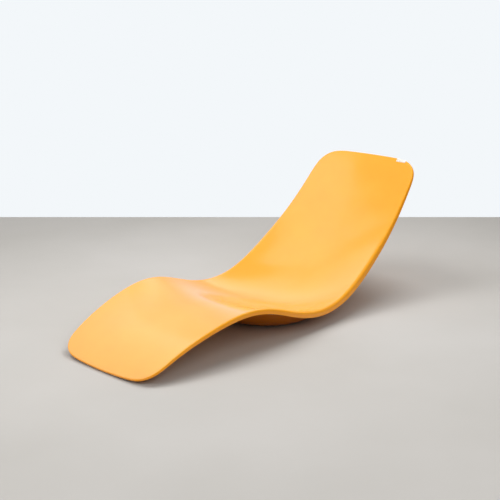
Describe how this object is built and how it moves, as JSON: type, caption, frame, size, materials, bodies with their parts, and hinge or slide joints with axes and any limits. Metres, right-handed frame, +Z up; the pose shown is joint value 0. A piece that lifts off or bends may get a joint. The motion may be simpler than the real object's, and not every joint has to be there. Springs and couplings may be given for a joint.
{
  "type": "pool lounger",
  "caption": "Long dished glass-fibre lounger: a wave-shaped shell with a turned-down lip, standing on a low oval base under the seat and on its foot end.",
  "frame": {"origin": "middle of the whole object's box, on the floor", "axes": "+Y from the foot end to the head end, +X to the sitter's left, +Z up"},
  "size_m": [0.6278, 1.6096, 0.5637],
  "materials": {
    "shell_gelcoat": "glossy orange-yellow gelcoat on glass-fibre laminate",
    "base_gelcoat": "glossy orange-yellow gelcoat on glass-fibre laminate",
    "bonding_laminate": "tinted resin and glass, matt",
    "rubber": "matt black"
  },
  "bodies": {
    "root": {"seat_shell": "shell_gelcoat", "support_base": "base_gelcoat", "bond_strip": "bonding_laminate", "base_pad_front_left": "rubber", "base_pad_front_right": "rubber", "base_pad_rear_left": "rubber", "base_pad_rear_right": "rubber", "foot_pad_left": "rubber", "foot_pad_right": "rubber"}
  },
  "joints": []
}
